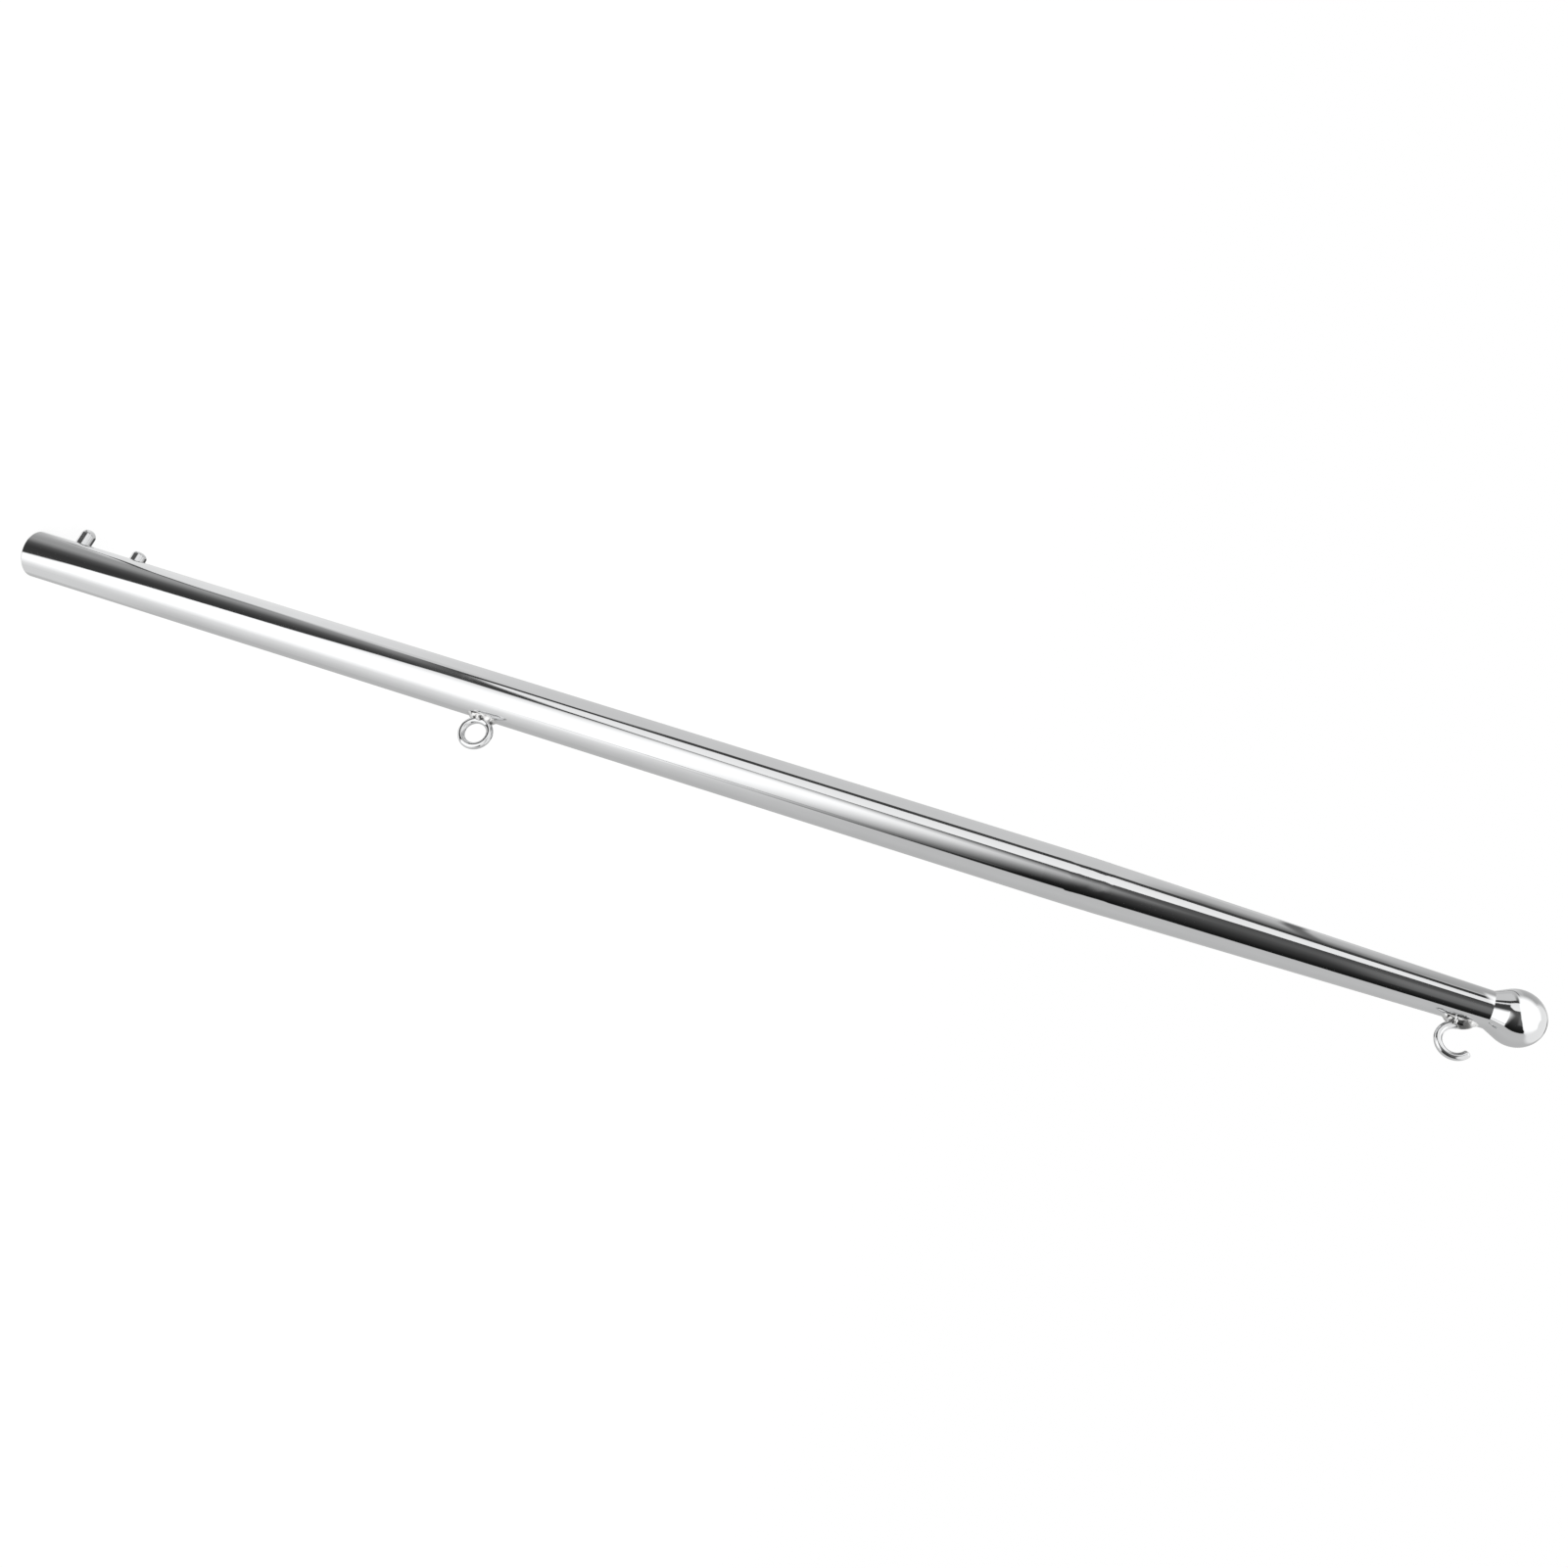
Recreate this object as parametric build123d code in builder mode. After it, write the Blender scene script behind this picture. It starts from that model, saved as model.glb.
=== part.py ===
from build123d import *
import os
from math import sqrt

os.makedirs("parts", exist_ok=True)

# The flagstaff stands along +Z on the centre of its foot. The ring and the hook are on its +X side
# and the two locating pins on its -X side. All lengths are in millimetres.

# Tube: straight from the foot, then swaged down to the tip over the swage's own length
overall_height = 800.0
tube_diameter = 25.4
tube_wall = 1.5
swage_length = 186.6
tip_diameter = 17.5
swage_blend_radius = 1500.0
foot_edge_radius = 0.5

# Ball finial: a turned ball on a cone that runs smoothly onto it, plugged into the tip of the tube
ball_diameter = 25.8
neck_length = 6.4
plug_length = 14.0
plug_clearance = 0.1

# Wire fittings: the closed ring and the open hook are bent from the same wire to the same circle
wire_diameter = 3.6
loop_bend_radius = 7.3
loop_seat_depth = 0.15
ring_height = 281.6
hook_drop = 22.3
hook_standoff = 0.7
hook_start_angle = 184.0
hook_sweep_angle = 234.0
hook_end_edge = 0.7

# Weld beads: oval lumps that run along the tube under each wire fitting
ring_bead_length = 17.0
ring_bead_width = 5.8
ring_bead_lift = -0.3
hook_bead_length = 16.5
hook_bead_width = 6.8
hook_bead_lift = 0.4

# Locating pins: pressed through the wall of the tube, near the foot
pin_diameter = 8.0
long_pin_height = 21.5
long_pin_reach = 9.8
long_pin_edge = 3.6
short_pin_height = 56.6
short_pin_reach = 5.5
short_pin_edge = 2.0

# Sizes that follow from the ones above
tube_radius = tube_diameter / 2
bore_radius = tube_radius - tube_wall
tip_radius = tip_diameter / 2
ball_radius = ball_diameter / 2
wire_radius = wire_diameter / 2
pin_radius = pin_diameter / 2
ball_height = overall_height - ball_radius
tip_distance = sqrt(ball_radius**2 + neck_length**2)
tip_height = ball_height - sqrt(tip_distance**2 - tip_radius**2)
straight_length = tip_height - swage_length
hook_height = ball_height - hook_drop


def taper_radius(height):
    """Outside radius of the swaged tube at a height above the foot."""
    way_up_share = (height - straight_length) / swage_length
    return tube_radius + (tip_radius - tube_radius) * way_up_share


def corner_at(profile, radius, height):
    """The corner of a turned profile nearest to a radius and a height."""
    return profile.vertices().sort_by_distance((radius, height))[0]


# Pole blank: the outside of the tube as one solid bar, which also trims what is welded to it
with BuildPart() as pole_blank:
    with BuildSketch(Plane.XZ) as outside:
        with BuildLine():
            Polyline(
                (0, 0),
                (tube_radius, 0),
                (tube_radius, straight_length),
                (tip_radius, tip_height),
                (0, tip_height),
                close=True,
            )
        make_face()
        fillet(corner_at(outside, tube_radius, straight_length), swage_blend_radius)
        fillet(corner_at(outside, tube_radius, 0), foot_edge_radius)
    revolve(axis=Axis.Z)

# Pole tube: the blank bored out to an even wall and drilled for the two pins
with BuildPart() as pole_tube:
    add(pole_blank.part)
    with BuildSketch(Plane.XZ) as bore:
        with BuildLine():
            Polyline(
                (0, 0),
                (bore_radius, 0),
                (bore_radius, straight_length),
                (tip_radius - tube_wall, tip_height),
                (0, tip_height),
                close=True,
            )
        make_face()
        fillet(corner_at(bore, bore_radius, straight_length), swage_blend_radius)
    revolve(axis=Axis.Z, mode=Mode.SUBTRACT)
    for pin_height in (long_pin_height, short_pin_height):
        with BuildSketch(Plane(origin=(0, 0, pin_height), z_dir=(-1, 0, 0))):
            Circle(pin_radius)
        extrude(amount=tube_diameter, mode=Mode.SUBTRACT)

# Ball finial: plug, cone and ball in one turned profile, with the cone's line touching the ball's circle
inward_share = (ball_radius / tip_distance) ** 2
across_share = ball_radius * neck_length / tip_distance**2
tip_drop = ball_height - tip_height
ball_touch = (
    inward_share * tip_radius + across_share * tip_drop,
    ball_height - inward_share * tip_drop + across_share * tip_radius,
)
plug_foot = tip_height - plug_length
plug_top_radius = tip_radius - tube_wall - plug_clearance
plug_foot_radius = taper_radius(plug_foot) - tube_wall - plug_clearance
with BuildPart() as ball_finial:
    with BuildSketch(Plane.XZ):
        with BuildLine():
            Polyline(
                (0, plug_foot),
                (plug_foot_radius, plug_foot),
                (plug_top_radius, tip_height),
                (tip_radius, tip_height),
                ball_touch,
            )
            ThreePointArc(ball_touch, (ball_radius, ball_height), (0, overall_height))
            Line((0, overall_height), (0, plug_foot))
        make_face()
    revolve(axis=Axis.Z)

# Halyard ring: closed, in the plane of the pole's axis, seated a little into the tube
ring_centre = (tube_radius - loop_seat_depth + wire_radius + loop_bend_radius, 0, ring_height)
with BuildPart() as halyard_ring:
    with Locations(ring_centre):
        Torus(loop_bend_radius, wire_radius, rotation=(90, 0, 0))
    add(pole_blank.part, mode=Mode.SUBTRACT)

# Flag hook: the same circle left open towards the ball
hook_centre = (taper_radius(hook_height) + hook_standoff + wire_radius + loop_bend_radius, hook_height)
with BuildPart() as flag_hook:
    with BuildLine(Plane.XZ) as bend:
        CenterArc(hook_centre, loop_bend_radius, hook_start_angle, hook_sweep_angle)
    with BuildSketch(Plane(origin=bend.line @ 1, z_dir=bend.line % 1)):
        Circle(wire_radius)
    sweep(path=bend.line)
    open_end = flag_hook.faces().filter_by(GeomType.PLANE).sort_by(Axis.X)[-1]
    fillet(open_end.edges(), hook_end_edge)
    add(pole_blank.part, mode=Mode.SUBTRACT)


# Weld beads: a long oval lump laid on the surface of the tube and cut back to what it joins
def weld_bead(height, surface_radius, length, width, joined):
    """A bead on the tube's surface at a height, less the pieces that it joins."""
    middle = (surface_radius, height)
    with BuildPart() as bead:
        with BuildSketch(Plane.XZ):
            with BuildLine():
                outline = EllipticalCenterArc(middle, width / 2, length / 2, start_angle=-90, arc_size=180)
                Line(outline @ 1, outline @ 0)
            make_face()
        revolve(axis=Axis((surface_radius, 0, height), (0, 0, 1)))
        for neighbour in joined:
            add(neighbour.part, mode=Mode.SUBTRACT)
    return bead


ring_weld = weld_bead(
    ring_height + ring_bead_lift, tube_radius, ring_bead_length, ring_bead_width, (pole_blank, halyard_ring)
)
hook_weld = weld_bead(
    hook_height + hook_bead_lift,
    taper_radius(hook_height),
    hook_bead_length,
    hook_bead_width,
    (pole_blank, ball_finial, flag_hook),
)


# Locating pins: round studs flush with the bore, standing out of the back of the tube
def locating_pin(height, reach, edge):
    """A stud through the wall at a height, standing out by its reach, with a rounded end."""
    with BuildPart() as pin:
        with BuildSketch(Plane(origin=(0, 0, height), z_dir=(-1, 0, 0))):
            Circle(pin_radius)
        extrude(amount=tube_radius + reach)
        fillet(pin.faces().sort_by(Axis.X)[0].edges(), edge)
        with Locations((0, 0, height)):
            Cylinder(bore_radius, tube_diameter, mode=Mode.SUBTRACT)
    return pin


long_pin = locating_pin(long_pin_height, long_pin_reach, long_pin_edge)
short_pin = locating_pin(short_pin_height, short_pin_reach, short_pin_edge)

pieces = {
    "pole_tube": pole_tube,
    "ball_finial": ball_finial,
    "halyard_ring": halyard_ring,
    "ring_weld": ring_weld,
    "flag_hook": flag_hook,
    "hook_weld": hook_weld,
    "long_pin": long_pin,
    "short_pin": short_pin,
}
for name, piece in pieces.items():
    piece.part.label = name
    export_step(piece.part, f"parts/{name}.step")
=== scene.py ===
import math

import bpy
from mathutils import Matrix, Vector, noise


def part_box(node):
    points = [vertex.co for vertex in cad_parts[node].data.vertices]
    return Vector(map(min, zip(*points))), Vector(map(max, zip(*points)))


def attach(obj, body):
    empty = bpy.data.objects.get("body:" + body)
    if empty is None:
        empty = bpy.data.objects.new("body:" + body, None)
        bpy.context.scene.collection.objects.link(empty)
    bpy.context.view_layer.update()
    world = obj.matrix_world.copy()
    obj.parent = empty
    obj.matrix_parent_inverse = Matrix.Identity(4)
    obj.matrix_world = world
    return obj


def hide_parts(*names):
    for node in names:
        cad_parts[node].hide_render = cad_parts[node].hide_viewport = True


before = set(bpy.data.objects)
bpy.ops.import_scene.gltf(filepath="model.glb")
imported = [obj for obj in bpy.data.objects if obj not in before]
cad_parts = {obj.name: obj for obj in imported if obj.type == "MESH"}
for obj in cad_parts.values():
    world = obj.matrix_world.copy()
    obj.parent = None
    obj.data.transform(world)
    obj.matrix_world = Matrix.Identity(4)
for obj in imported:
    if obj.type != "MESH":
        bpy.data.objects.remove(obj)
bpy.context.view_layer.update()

# The pole stands along +Z on its foot. Lengths are in metres, but a weld's own are in millimetres. An
# azimuth is in degrees about the pole's axis: 0 is towards -Y, where the camera mostly stands, and 90 is
# towards +X, the ring's side.

# Camera: the pole lies across the picture, so the camera is rolled about its line of sight. The roll is in
# degrees, and the lens and the sensor are in millimetres.
CAMERA_PLACE = (0.2922, -0.7054, 0.6149)
CAMERA_AIM = (-0.0019, -0.0008, 0.4403)
CAMERA_ROLL = 107.4
CAMERA_LENS = 36.82
SENSOR_WIDTH = 36.0

# Colours, and how far clouds in the steel darken and lighten it
WHITE = (1, 1, 1, 1)
STEEL = (0.74, 0.745, 0.75)
DARK_CLOUD_SHARE = 0.94
PALE_CLOUD_SHARE = 1.04
WELD_STEEL = (0.74, 0.74, 0.735)
WELD_STAIN = (0.5, 0.495, 0.49)
WELD_SOOT = (0.08, 0.08, 0.078)

# Noise in the finishes: scales in cycles a metre along X, Y and Z, and the depth and strength of bumps
CLOUD_SCALE = (70, 70, 40)
WELD_GRAIN_SCALE = (1500, 1500, 1500)
WELD_STAIN_SCALE = (350, 350, 350)
SOOT_EDGE_SCALE = (700, 700, 700)
BUMP_DEPTH = 0.0005
MARK_STRENGTH = 0.02
GRAIN_STRENGTH = 0.05


# Node helpers

def add_node(tree, kind, inputs=None, **settings):
    """A shader node with its settings, and each input either linked or given a value."""
    made = tree.nodes.new(kind)
    for name, value in settings.items():
        setattr(made, name, value)
    for name, value in (inputs or {}).items():
        if isinstance(value, bpy.types.NodeSocket):
            tree.links.new(value, made.inputs[name])
        else:
            made.inputs[name].default_value = value
    return made


def new_material(name):
    """An empty node material and its output node."""
    material = bpy.data.materials.new(name)
    material.use_nodes = True
    material.node_tree.nodes.clear()
    output = add_node(material.node_tree, "ShaderNodeOutputMaterial")
    return material, material.node_tree, output


def ramp(tree, value, low, high, to_low=0.0, to_high=1.0):
    """A smooth step of a value between two levels."""
    mapped = add_node(
        tree,
        "ShaderNodeMapRange",
        {"Value": value, "From Min": low, "From Max": high, "To Min": to_low, "To Max": to_high},
        interpolation_type="SMOOTHSTEP",
    )
    return mapped.outputs["Result"]


# Materials

def stretched_noise(tree, scale, detail=3.0, roughness=0.5):
    """Noise on the object's own coordinates, with its scale set along each axis, in cycles a metre."""
    place = add_node(tree, "ShaderNodeTexCoord").outputs["Object"]
    scaled = add_node(tree, "ShaderNodeMapping", {"Vector": place, "Scale": scale})
    texture = add_node(
        tree,
        "ShaderNodeTexNoise",
        {"Vector": scaled.outputs["Vector"], "Scale": 1.0, "Detail": detail, "Roughness": roughness},
    )
    return texture.outputs["Fac"]


def polished_steel(name, mark_scale, smooth, dull):
    """Mirror-polished steel with faint buffing marks and a little cloudiness.

    The roughness runs from smooth to dull with the marks, and a faint haze is added to it.
    """
    material, tree, output = new_material(name)
    marks = stretched_noise(tree, mark_scale, detail=4.0)
    clouds = stretched_noise(tree, CLOUD_SCALE, detail=5.0, roughness=0.6)
    dark_tint = (*[level * DARK_CLOUD_SHARE for level in STEEL], 1)
    pale_tint = (*[level * PALE_CLOUD_SHARE for level in STEEL], 1)
    tint = add_node(
        tree,
        "ShaderNodeMix",
        {"Factor": clouds, "A": dark_tint, "B": pale_tint},
        data_type="RGBA",
    )
    bump = add_node(
        tree,
        "ShaderNodeBump",
        {"Height": marks, "Strength": MARK_STRENGTH, "Distance": BUMP_DEPTH},
    )
    haze = ramp(tree, clouds, low=0.45, high=0.75, to_high=0.04)
    shine = ramp(tree, marks, low=0.35, high=0.7, to_low=smooth, to_high=dull)
    dullness = add_node(tree, "ShaderNodeMath", {0: shine, 1: haze}, operation="ADD")
    shader = add_node(
        tree,
        "ShaderNodeBsdfPrincipled",
        {
            "Base Color": tint.outputs["Result"],
            "Metallic": 1.0,
            "Roughness": dullness.outputs["Value"],
            "Normal": bump.outputs["Normal"],
        },
    )
    tree.links.new(shader.outputs["BSDF"], output.inputs["Surface"])
    return material


def soot_cover(tree, spots):
    """How much soot lies on a weld: most of it inside each spot, fading out unevenly round it.

    A spot is its centre and its reach, in metres.
    """
    full_cover = 0.85
    faded_share = 1.7
    place = add_node(tree, "ShaderNodeTexCoord").outputs["Object"]
    uneven = stretched_noise(tree, SOOT_EDGE_SCALE)
    cover = None
    for centre, reach in spots:
        gap = add_node(tree, "ShaderNodeVectorMath", {0: place, 1: centre}, operation="DISTANCE")
        edge = add_node(
            tree,
            "ShaderNodeMath",
            {0: uneven, 1: reach, 2: gap.outputs["Value"]},
            operation="MULTIPLY_ADD",
        )
        spot = ramp(tree, edge.outputs["Value"], reach, faded_share * reach, full_cover, 0.0)
        if cover is None:
            cover = spot
        else:
            larger = add_node(tree, "ShaderNodeMath", {0: cover, 1: spot}, operation="MAXIMUM")
            cover = larger.outputs["Value"]
    return cover


def weld_metal(name, spots):
    """Weld metal, half polished: duller than the tube, with stains, spots of soot and a fine grain."""
    material, tree, output = new_material(name)
    grain = stretched_noise(tree, WELD_GRAIN_SCALE, detail=4.0)
    stain = stretched_noise(tree, WELD_STAIN_SCALE, detail=4.0)
    stained = add_node(
        tree,
        "ShaderNodeMix",
        {"Factor": ramp(tree, stain, low=0.3, high=0.55), "A": (*WELD_STAIN, 1), "B": (*WELD_STEEL, 1)},
        data_type="RGBA",
    )
    tint = add_node(
        tree,
        "ShaderNodeMix",
        {"Factor": soot_cover(tree, spots), "A": stained.outputs["Result"], "B": (*WELD_SOOT, 1)},
        data_type="RGBA",
    )
    bump = add_node(
        tree,
        "ShaderNodeBump",
        {"Height": grain, "Strength": GRAIN_STRENGTH, "Distance": BUMP_DEPTH},
    )
    shader = add_node(
        tree,
        "ShaderNodeBsdfPrincipled",
        {
            "Base Color": tint.outputs["Result"],
            "Metallic": 1.0,
            "Roughness": ramp(tree, stain, low=0.3, high=0.7, to_low=0.22, to_high=0.08),
            "Normal": bump.outputs["Normal"],
        },
    )
    tree.links.new(shader.outputs["BSDF"], output.inputs["Surface"])
    return material


def dress(node, material):
    """Gives a node of the frame its finish."""
    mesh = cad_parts[node].data
    mesh.materials.clear()
    mesh.materials.append(material)


tube_steel = polished_steel("tube_steel", mark_scale=(500, 500, 6), smooth=0.03, dull=0.06)
ball_steel = polished_steel("ball_steel", mark_scale=(60, 60, 500), smooth=0.04, dull=0.07)
wire_steel = polished_steel("wire_steel", mark_scale=(300, 300, 300), smooth=0.04, dull=0.09)
pin_steel = polished_steel("pin_steel", mark_scale=(500, 200, 200), smooth=0.12, dull=0.18)

dress("pole_tube", tube_steel)
dress("ball_finial", ball_steel)
dress("halyard_ring", wire_steel)
dress("flag_hook", wire_steel)
dress("long_pin", pin_steel)
dress("short_pin", pin_steel)


# Welds

# The places of the welds come from the frame's boxes, and the tube's radius and taper at the hook from
# the part's own sizes
MM = 0.001
ring_low, ring_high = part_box("halyard_ring")
hook_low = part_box("flag_hook")[0]
tube_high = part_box("pole_tube")[1]
TUBE_RADIUS = tube_high[1]
LOOP_RADIUS = (ring_high[2] - ring_low[2]) / 2
RING_HEIGHT = (ring_high[2] + ring_low[2]) / 2
HOOK_HEIGHT = hook_low[2] + LOOP_RADIUS
RADIUS_AT_HOOK = 0.00898
TAPER_AT_HOOK = -0.0212

# How far the creases wander, how fast along and across the bead, and how much they bow
WANDER_REACH = 0.5
WANDER_RATE_ALONG = 0.5
WANDER_RATE_ACROSS = 0.6
WANDER_LAYER = 3.7
BOW_SHARE = 0.1

# Sizes of the lumps, and how high the fine ones are beside the coarse ones
COARSE_LUMP = 0.8
FINE_LUMP = 0.35
FINE_LAYER = 5.0
FINE_SHARE = 0.5


def on_tube(radius, height, along, side, out):
    """A point of a weld: its place along the tube, sideways round it and out from it, in millimetres."""
    turn = side * MM / radius
    reach = radius + out * MM
    return reach * math.cos(turn), reach * math.sin(turn), height + along * MM


def eased(stations, along):
    """The values of a bead at a place along it, on a smooth curve through its stations."""
    last = len(stations) - 1
    i = next((n for n in range(last) if along <= stations[n + 1][0]), last - 1)
    before, low, high, after = (stations[max(0, min(last, i + n))] for n in (-1, 0, 1, 2))
    share = (along - low[0]) / (high[0] - low[0])
    values = []
    for k in range(1, len(low)):
        rise_low = (high[k] - before[k]) * (high[0] - low[0]) / (high[0] - before[0])
        rise_high = (after[k] - low[k]) * (high[0] - low[0]) / (after[0] - low[0])
        step = high[k] - low[k]
        sag = 3 * step - 2 * rise_low - rise_high
        swing = rise_low + rise_high - 2 * step
        values.append(low[k] + share * rise_low + share**2 * sag + share**3 * swing)
    return values


def crease_depth(creases, along, side):
    """How deep the creases between a weld's lumps cut at a place."""
    spot = Vector((along * WANDER_RATE_ALONG, side * WANDER_RATE_ACROSS, WANDER_LAYER))
    wander = WANDER_REACH * noise.noise(spot)
    bow = BOW_SHARE * side * side
    deepest = 0.0
    for place, slant, half_width, depth in creases:
        gap = (along + wander - place - slant * side - bow) / half_width
        deepest = max(deepest, depth * math.exp(-gap * gap))
    return deepest


def lumps(along, side):
    """Uneven lumps of two sizes, about -1 to 1."""
    coarse = noise.noise(Vector((along, side, 0.0)) / COARSE_LUMP)
    fine = noise.noise(Vector((along, side, FINE_LAYER)) / FINE_LUMP)
    return coarse + FINE_SHARE * fine


def weld(name, node, material, radius, taper, height, creases, stations):
    """A creased weld on the tube, in place of a plain bead.

    The radius and the taper are the tube's own there, and the height is the weld's place up the pole. A
    crease is its place along the weld, slant, half width and depth. A station is its place along the weld,
    then the bead's height, half width, roundness from a hollow fillet at 0 to a full bead at 1, and height
    of its lumps there.
    """
    long_steps = 170
    side_steps = 72
    # The skirt is where the bead's edge lies under the tube's surface, and the underside is sunk deeper
    skirt = -0.2
    sunk = -0.5
    least_wall = 0.05
    hollow_power = 1.25
    smooth_edge_share = 0.25
    first, last = stations[0][0], stations[-1][0]
    points = []
    for level in ("top", "bottom"):
        for i in range(long_steps + 1):
            along = first + (last - first) * i / long_steps
            crown, half_width, roundness, lump_height = eased(stations, along)
            for j in range(side_steps + 1):
                share = 2 * j / side_steps - 1
                side = share * half_width
                hollow = (1 - abs(share)) ** hollow_power
                full = math.sqrt(1 - share * share)
                rise = hollow + (full - hollow) * roundness
                uneven = lump_height * lumps(along, side) - crease_depth(creases, along, side)
                inner = min(1.0, (1 - abs(share)) / smooth_edge_share)
                out = skirt + (crown - skirt) * rise + inner * uneven
                if level == "bottom":
                    out = min(out - least_wall, sunk)
                points.append(on_tube(radius, height, along, side, out + taper * along))
    row = side_steps + 1
    under = (long_steps + 1) * row
    faces = []
    for i in range(long_steps):
        for j in range(side_steps):
            near = i * row + j
            far = near + row
            faces.append((near, near + 1, far + 1, far))
            faces.append((under + near, under + far, under + far + 1, under + near + 1))
    rim = list(range(side_steps))
    rim += [i * row + side_steps for i in range(long_steps)]
    rim += [long_steps * row + j for j in range(side_steps, 0, -1)]
    rim += [i * row for i in range(long_steps, 0, -1)]
    for here, after in zip(rim, rim[1:] + rim[:1]):
        faces.append((after, here, under + here, under + after))
    mesh = bpy.data.meshes.new(name)
    mesh.from_pydata(points, [], faces)
    mesh.shade_smooth()
    mesh.materials.append(material)
    piece = bpy.data.objects.new(name, mesh)
    bpy.context.scene.collection.objects.link(piece)
    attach(piece, "root")
    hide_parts(node)


def soot_spots(radius, height, places):
    """Soot spots on a weld, each from its place along the tube, sideways and out, and its reach."""
    return [(on_tube(radius, height, along, side, out), reach * MM) for along, side, out, reach in places]


ring_soot = [
    (-3.4, -2.2, 2.2, 0.9), (-0.4, -3.0, 1.4, 1.1), (0.8, -2.0, 2.2, 1.4), (2.0, -0.8, 2.6, 1.1),
    (5.8, -1.0, 2.2, 1.3),
]
hook_soot = [(2.2, -1.6, 2.6, 3.1), (-3.6, -1.5, 2.8, 1.3)]
ring_weld_steel = weld_metal("ring_weld_steel", soot_spots(TUBE_RADIUS, RING_HEIGHT, ring_soot))
hook_weld_steel = weld_metal("hook_weld_steel", soot_spots(RADIUS_AT_HOOK, HOOK_HEIGHT, hook_soot))
weld(
    "ring_weld_bead",
    "ring_weld",
    ring_weld_steel,
    radius=TUBE_RADIUS,
    taper=0.0,
    height=RING_HEIGHT,
    creases=[
        (-6.8, 0.2, 0.4, 0.15), (-3.3, 0.0, 0.4, 0.42), (2.3, 0.9, 0.7, 0.65),
        (5.2, 0.3, 0.4, 0.4), (6.9, 0.3, 0.35, 0.2),
    ],
    stations=[
        (-9.7, -0.3, 0.6, 0.4, 0.0), (-9.0, 0.1, 1.8, 0.3, 0.01), (-8.2, 0.4, 2.6, 0.3, 0.01),
        (-7.4, 1.0, 3.1, 0.35, 0.02), (-6.6, 1.9, 3.4, 0.5, 0.03), (-5.8, 2.5, 3.6, 0.65, 0.04),
        (-4.6, 2.9, 3.8, 0.8, 0.04), (-3.0, 3.1, 4.0, 0.85, 0.04), (-1.0, 3.1, 4.0, 0.8, 0.04),
        (0.6, 2.9, 3.9, 0.75, 0.03), (1.8, 2.8, 3.8, 0.75, 0.03), (3.4, 3.0, 3.7, 0.8, 0.05),
        (4.8, 2.8, 3.4, 0.75, 0.1), (5.9, 2.2, 3.0, 0.6, 0.12), (6.8, 1.4, 2.5, 0.5, 0.08),
        (7.6, 0.6, 1.8, 0.5, 0.03), (8.3, -0.3, 0.5, 0.5, 0.0),
    ],
)
weld(
    "hook_weld_bead",
    "hook_weld",
    hook_weld_steel,
    radius=RADIUS_AT_HOOK,
    taper=TAPER_AT_HOOK,
    height=HOOK_HEIGHT,
    creases=[
        (-7.3, 0.2, 0.4, 0.15), (-5.3, 0.1, 0.45, 0.26), (-3.9, 0.0, 0.35, 0.12),
        (6.0, 0.0, 0.4, 0.12),
    ],
    stations=[
        (-8.4, -0.3, 0.5, 0.5, 0.0), (-7.7, 0.4, 1.6, 0.5, 0.02), (-6.9, 1.2, 2.3, 0.5, 0.04),
        (-6.0, 2.1, 2.7, 0.55, 0.06), (-5.0, 2.8, 2.9, 0.6, 0.06), (-4.2, 3.3, 3.0, 0.7, 0.04),
        (-3.4, 3.8, 3.1, 0.8, 0.03), (-2.5, 3.9, 3.1, 0.85, 0.03), (-1.9, 3.5, 2.9, 0.8, 0.03),
        (-1.2, 3.8, 3.1, 0.9, 0.03), (0.2, 4.0, 3.2, 0.95, 0.03), (2.0, 3.7, 3.2, 0.95, 0.04),
        (3.6, 3.1, 3.1, 0.95, 0.05), (4.9, 2.4, 2.8, 0.9, 0.05), (5.9, 1.6, 2.4, 0.7, 0.05),
        (6.7, 1.0, 2.0, 0.55, 0.04), (7.5, 0.5, 1.4, 0.5, 0.02), (8.4, -0.3, 0.4, 0.5, 0.0),
    ],
)


# Studio

def facing(azimuth):
    """The level direction of an azimuth about the pole."""
    turn = math.radians(azimuth)
    return Vector((math.sin(turn), -math.cos(turn), 0))


def between(columns, azimuth):
    """The low edge, high edge and strength of a panel at an azimuth, from its columns."""
    for left, right in zip(columns, columns[1:]):
        if azimuth <= right[0]:
            share = (azimuth - left[0]) / (right[0] - left[0])
            return [a + (b - a) * share for a, b in zip(left[1:], right[1:])]
    return columns[-1][1:]


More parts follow.
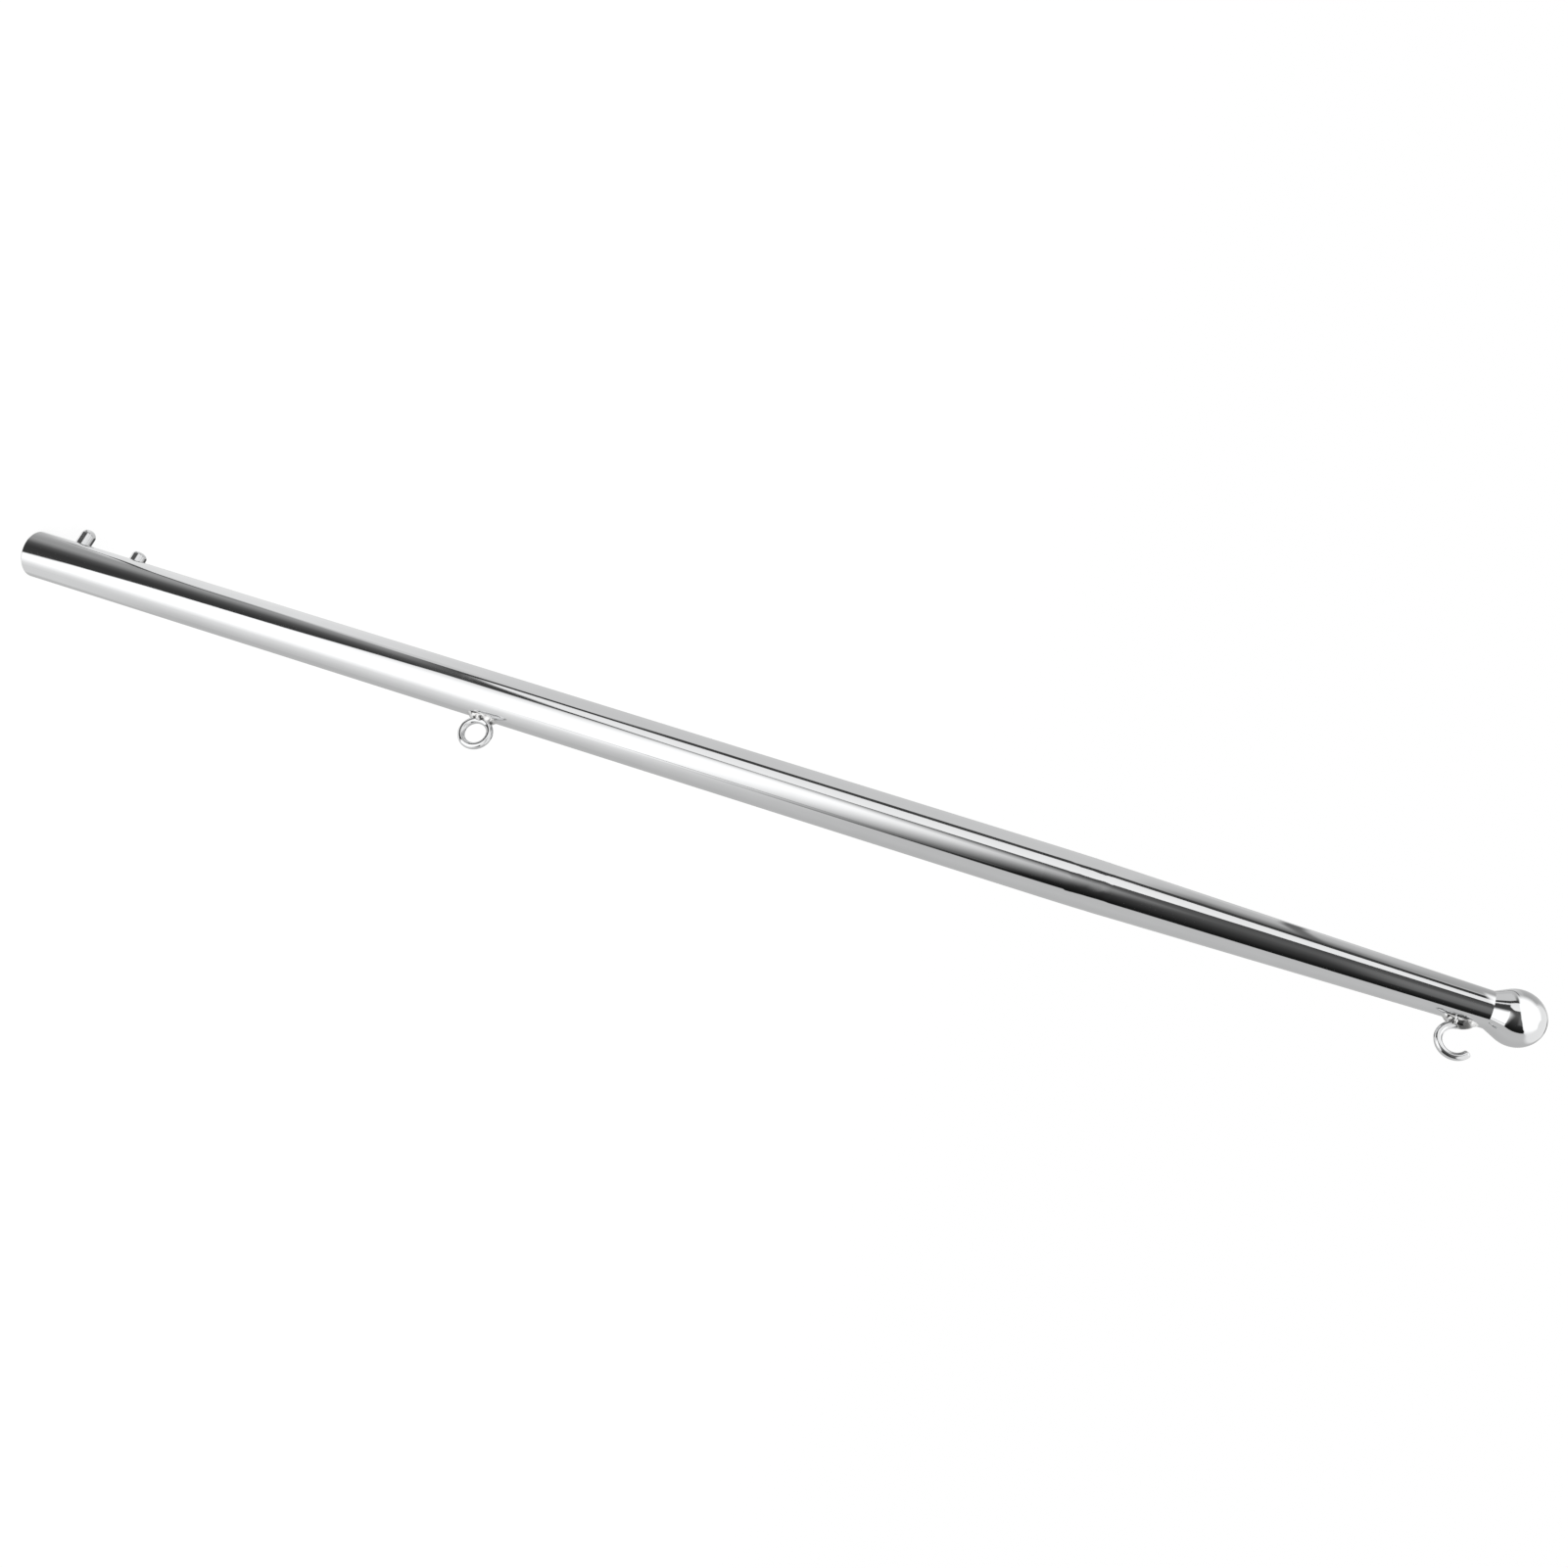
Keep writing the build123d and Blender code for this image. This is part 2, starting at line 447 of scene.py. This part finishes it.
def panel(name, distance, columns, soft_low, soft_high, soft_side):
    """A curved studio panel about the pole, seen only in reflections.

    A column is azimuth, low edge, high edge and strength. The panel fades out over its soft edges, and a
    nearer panel hides a farther one.
    """
    steps = 80
    points, cover, strengths, faces = [], [], [], []
    first, last = columns[0][0], columns[-1][0]
    for i in range(steps + 1):
        azimuth = first + (last - first) * i / steps
        low, high, strength = between(columns, azimuth)
        side = distance * math.radians(min(azimuth - first, last - azimuth))
        for j in range(steps + 1):
            height = low + (high - low) * j / steps
            points.append(facing(azimuth) * distance + Vector((0, 0, height)))
            fades = (side / soft_side, (height - low) / soft_low, (high - height) / soft_high)
            cover.append(min(1.0, *fades))
            strengths.append(strength)
    for i in range(steps):
        for j in range(steps):
            corner = i * (steps + 1) + j
            faces.append((corner, corner + 1, corner + steps + 2, corner + steps + 1))
    mesh = bpy.data.meshes.new(name)
    mesh.from_pydata(points, [], faces)
    mesh.attributes.new("cover", "FLOAT", "POINT").data.foreach_set("value", cover)
    mesh.attributes.new("glow", "FLOAT", "POINT").data.foreach_set("value", strengths)
    material, tree, output = new_material(name)
    material.cycles.emission_sampling = "NONE"
    covered = add_node(tree, "ShaderNodeAttribute", attribute_name="cover").outputs["Fac"]
    glow = add_node(tree, "ShaderNodeAttribute", attribute_name="glow").outputs["Fac"]
    light = add_node(tree, "ShaderNodeEmission", {"Color": WHITE, "Strength": glow})
    mix = add_node(tree, "ShaderNodeMixShader", {"Fac": ramp(tree, covered, 0.0, 1.0)})
    clear = add_node(tree, "ShaderNodeBsdfTransparent")
    tree.links.new(clear.outputs["BSDF"], mix.inputs[1])
    tree.links.new(light.outputs["Emission"], mix.inputs[2])
    tree.links.new(mix.outputs["Shader"], output.inputs["Surface"])
    mesh.materials.append(material)
    made = bpy.data.objects.new(name, mesh)
    bpy.context.scene.collection.objects.link(made)
    made.visible_camera = False
    made.visible_diffuse = False
    made.visible_shadow = False


# Pale walls on both sides, with a dark strip behind the pole
panel(
    "pale_wall_right",
    distance=0.5,
    columns=[
        (75.8, -0.7, 1.3, 0.64), (110, -0.7, 1.3, 0.65), (140, -0.7, 1.3, 0.6),
        (186, -0.7, 1.3, 0.55),
    ],
    soft_low=0.2,
    soft_high=0.2,
    soft_side=0.018,
)
panel(
    "pale_wall_left",
    distance=0.51,
    columns=[
        (-186, -0.7, 1.3, 0.55), (-150, -0.7, 1.3, 0.65), (-115, -0.7, 1.3, 0.74),
        (-51.3, -0.7, 1.3, 0.74),
    ],
    soft_low=0.2,
    soft_high=0.2,
    soft_side=0.014,
)
panel(
    "pale_wall_left_foot",
    distance=0.5,
    columns=[
        (-150, -0.7, 0.2, 0.8), (-115, -0.7, 0.2, 0.95), (-51, -0.7, 0.2, 0.95),
    ],
    soft_low=0.2,
    soft_high=0.35,
    soft_side=0.025,
)
panel(
    "pale_edge_left",
    distance=0.495,
    columns=[
        (-62, -0.3, 0.24, 0.76), (-47.5, -0.3, 0.24, 0.76),
    ],
    soft_low=0.1,
    soft_high=0.08,
    soft_side=0.014,
)
panel(
    "dark_strip_behind",
    distance=0.49,
    columns=[
        (-166, -0.7, 1.3, 0.1), (-149, -0.7, 1.3, 0.1),
    ],
    soft_low=0.2,
    soft_high=0.2,
    soft_side=0.04,
)
# Shades on the left wall, towards the ball and towards the foot
panel(
    "shade_above_left",
    distance=0.48,
    columns=[
        (-140, 0.78, 1.3, 0.6), (-90, 0.77, 1.3, 0.5), (-50, 0.76, 1.3, 0.45),
    ],
    soft_low=0.08,
    soft_high=0.2,
    soft_side=0.1,
)
panel(
    "shade_beside_strip",
    distance=0.477,
    columns=[
        (-112, 0.62, 0.88, 0.66), (-90, 0.62, 0.88, 0.6), (-80, 0.62, 0.88, 0.56),
        (-72, 0.62, 0.88, 0.45), (-64, 0.62, 0.88, 0.31), (-57, 0.62, 0.88, 0.24),
        (-49, 0.62, 0.88, 0.08),
    ],
    soft_low=0.06,
    soft_high=0.1,
    soft_side=0.02,
)
panel(
    "dark_card_left",
    distance=0.475,
    columns=[
        (-128, 0.722, 0.75, 0.2), (-94, 0.727, 0.755, 0.16), (-77, 0.735, 0.763, 0.18),
        (-63, 0.743, 0.771, 0.18), (-50, 0.75, 0.78, 0.12),
    ],
    soft_low=0.01,
    soft_high=0.01,
    soft_side=0.03,
)
panel(
    "grey_corner",
    distance=0.47,
    columns=[
        (-130, -0.46, -0.33, 0.6), (-95, -0.46, -0.31, 0.55), (-75, -0.46, -0.26, 0.45),
        (-62, -0.46, -0.18, 0.4), (-50, -0.46, -0.03, 0.4),
    ],
    soft_low=0.02,
    soft_high=0.06,
    soft_side=0.1,
)
# The dark room in front, and what glows in it
panel(
    "dark_room",
    distance=2.3,
    columns=[
        (-62, -5.0, 1.57, 0.06), (-16, -5.0, 1.57, 0.06), (-5, -5.0, 1.57, 0.09),
        (6, -5.0, 1.57, 0.12), (16, -5.0, 1.57, 0.12), (23, -5.0, 1.57, 0.095),
        (40, -5.0, 1.6, 0.05), (58, -5.0, 1.95, 0.022), (68, -5.0, 2.27, 0.012),
        (82, -5.0, 2.27, 0.012),
    ],
    soft_low=0.1,
    soft_high=0.1,
    soft_side=0.05,
)
panel(
    "white_panel_far",
    distance=2.1,
    columns=[
        (-1, -0.9, -0.62, 1.3), (5, -0.98, -0.62, 1.4), (14, -1.22, -0.62, 1.4),
        (60, -1.28, -0.62, 1.4), (79, -1.28, -0.62, 1.1),
    ],
    soft_low=0.06,
    soft_high=0.08,
    soft_side=0.1,
)
panel(
    "grey_patch_above",
    distance=0.46,
    columns=[
        (4, 0.76, 0.97, 0.2), (24, 0.76, 0.97, 0.2), (50, 0.78, 0.97, 0.12),
    ],
    soft_low=0.08,
    soft_high=0.05,
    soft_side=0.08,
)
panel(
    "grey_glow",
    distance=0.455,
    columns=[
        (-64, -0.46, -0.12, 0.4), (-54, -0.46, -0.02, 0.4), (-48, -0.46, 0.07, 0.38),
        (-36, -0.46, 0.09, 0.24), (-26, -0.46, 0.11, 0.12), (-14, -0.46, 0.12, 0.07),
        (-4, -0.46, 0.1, 0.05), (30, -0.46, 0.0, 0.05),
    ],
    soft_low=0.02,
    soft_high=0.1,
    soft_side=0.03,
)
# The dark line by the foot, the white panels that light the tube and the dark gap beside them
panel(
    "dark_line_left",
    distance=0.452,
    columns=[
        (-100, -0.345, -0.323, 0.15), (-93, -0.325, -0.301, 0.1), (-86, -0.29, -0.264, 0.08),
        (-68, -0.257, -0.23, 0.08), (-58, -0.21, -0.175, 0.12), (-52, -0.13, -0.06, 0.25),
    ],
    soft_low=0.008,
    soft_high=0.008,
    soft_side=0.03,
)
panel(
    "white_panel_left",
    distance=2.0,
    columns=[
        (-40.6, -0.65, 0.45, 1.0), (-39.5, -0.65, 0.8, 1.02), (-38, -0.65, 1.05, 1.04),
        (-36.4, -0.65, 1.42, 1.05), (-30.6, -0.63, 1.42, 1.06), (-17.5, -0.49, 1.38, 1.1),
        (-15.5, -0.42, 1.25, 1.1), (-11.4, -0.28, 1.03, 1.12), (-7.4, 0.0, 0.77, 1.12),
        (-5.9, 0.13, 0.6, 1.12),
    ],
    soft_low=0.07,
    soft_high=0.05,
    soft_side=0.04,
)
panel(
    "white_panel_right",
    distance=0.44,
    columns=[
        (-12, 0.06, 0.3, 1.0), (-3, -0.035, 0.56, 1.1), (5, -0.1, 0.66, 1.3),
        (14, -0.24, 0.71, 1.4), (23, -0.31, 0.69, 1.4), (33, -0.355, 0.65, 1.4),
        (42, -0.4, 0.62, 1.4), (61, -0.46, 0.56, 1.4), (70, -0.46, 0.53, 1.2),
        (81, -0.46, 0.46, 0.97), (92, -0.46, 0.44, 0.88), (104, -0.46, 0.42, 0.78),
        (118, -0.46, 0.4, 0.7), (130, -0.46, 0.4, 0.66),
    ],
    soft_low=0.03,
    soft_high=0.36,
    soft_side=0.03,
)
panel(
    "pale_foot_right",
    distance=0.435,
    columns=[
        (92, -0.5, -0.17, 0.86), (112, -0.5, -0.17, 0.82), (150, -0.5, -0.17, 0.8),
    ],
    soft_low=0.05,
    soft_high=0.14,
    soft_side=0.1,
)
panel(
    "dark_gap",
    distance=0.43,
    columns=[
        (63, 0.06, 0.54, 0.2), (65, 0.06, 0.54, 0.2), (67.2, 0.36, 0.54, 0.24),
    ],
    soft_low=0.2,
    soft_high=0.05,
    soft_side=0.02,
)
# The panel close round the ball, which shows white there and not in the tube
panel(
    "white_panel_above",
    distance=0.04,
    columns=[
        (-75, 0.776, 1.0, 1.3), (-20, 0.78, 1.0, 1.45), (0, 0.784, 1.0, 1.45),
        (20, 0.789, 1.0, 1.45), (40, 0.797, 1.0, 1.45), (60, 0.806, 1.0, 1.3),
        (68, 0.809, 1.0, 1.2), (85, 0.812, 1.0, 1.0),
    ],
    soft_low=0.004,
    soft_high=0.1,
    soft_side=0.02,
)


def seen_or_reflected(tree):
    """1 for a ray from the camera, a mirror or a glass, and 0 for light on a surface."""
    path = add_node(tree, "ShaderNodeLightPath")
    share = path.outputs["Is Camera Ray"]
    for name in ("Is Glossy Ray", "Is Transmission Ray"):
        larger = add_node(tree, "ShaderNodeMath", {0: share, 1: path.outputs[name]}, operation="MAXIMUM")
        share = larger.outputs["Value"]
    return share


def make_world():
    """A plain white studio all round."""
    world = bpy.data.worlds.new("studio")
    world.use_nodes = True
    tree = world.node_tree
    tree.nodes.clear()
    white = add_node(tree, "ShaderNodeBackground", {"Color": WHITE, "Strength": 1.0})
    output = add_node(tree, "ShaderNodeOutputWorld")
    tree.links.new(white.outputs["Background"], output.inputs["Surface"])
    bpy.context.scene.world = world


def make_floor():
    """A white floor that keeps a faint shadow of the pole."""
    size = 20.0
    white_share = 0.8
    mesh = bpy.data.meshes.new("floor")
    corners = [(-size, -size, 0), (size, -size, 0), (size, size, 0), (-size, size, 0)]
    mesh.from_pydata(corners, [], [(0, 1, 2, 3)])
    material, tree, output = new_material("floor")
    diffuse = add_node(tree, "ShaderNodeBsdfDiffuse", {"Color": WHITE})
    white = add_node(tree, "ShaderNodeEmission", {"Color": WHITE, "Strength": 1.0})
    share = add_node(
        tree,
        "ShaderNodeMath",
        {0: seen_or_reflected(tree), 1: white_share},
        operation="MULTIPLY",
    )
    mix = add_node(tree, "ShaderNodeMixShader", {"Fac": share.outputs["Value"]})
    tree.links.new(diffuse.outputs["BSDF"], mix.inputs[1])
    tree.links.new(white.outputs["Emission"], mix.inputs[2])
    tree.links.new(mix.outputs["Shader"], output.inputs["Surface"])
    mesh.materials.append(material)
    floor = bpy.data.objects.new("floor", mesh)
    bpy.context.scene.collection.objects.link(floor)
    floor.visible_glossy = False


def make_lamp(name, place, aim, size, power):
    """A soft square lamp, kept out of the reflections, which the panels make."""
    lamp = bpy.data.lights.new(name, "AREA")
    lamp.size = size
    lamp.energy = power
    made = bpy.data.objects.new(name, lamp)
    made.location = place
    made.rotation_euler = (Vector(aim) - Vector(place)).to_track_quat("-Z", "Y").to_euler()
    made.visible_glossy = False
    bpy.context.scene.collection.objects.link(made)


def make_camera():
    """The camera at the photograph's place, aim and roll."""
    camera = bpy.data.cameras.new("camera")
    camera.lens = CAMERA_LENS
    camera.sensor_width = SENSOR_WIDTH
    camera.sensor_fit = "HORIZONTAL"
    camera.clip_start = 0.01
    camera.clip_end = 100.0
    made = bpy.data.objects.new("camera", camera)
    place, aim = Vector(CAMERA_PLACE), Vector(CAMERA_AIM)
    sight = (aim - place).normalized()
    level_right = sight.cross(Vector((0, 0, 1))).normalized()
    level_up = level_right.cross(sight)
    roll = math.radians(CAMERA_ROLL)
    right = level_right * math.cos(roll) + level_up * math.sin(roll)
    up = right.cross(sight)
    turn = Matrix((right, up, -sight)).transposed().to_4x4()
    made.matrix_world = Matrix.Translation(place) @ turn
    bpy.context.scene.collection.objects.link(made)
    bpy.context.scene.camera = made


make_world()
make_floor()
make_lamp("key_lamp", place=(1.2, -1.6, 2.2), aim=(0, 0, 0.3), size=1.2, power=25.0)
make_camera()
bpy.context.scene.view_settings.view_transform = "Standard"
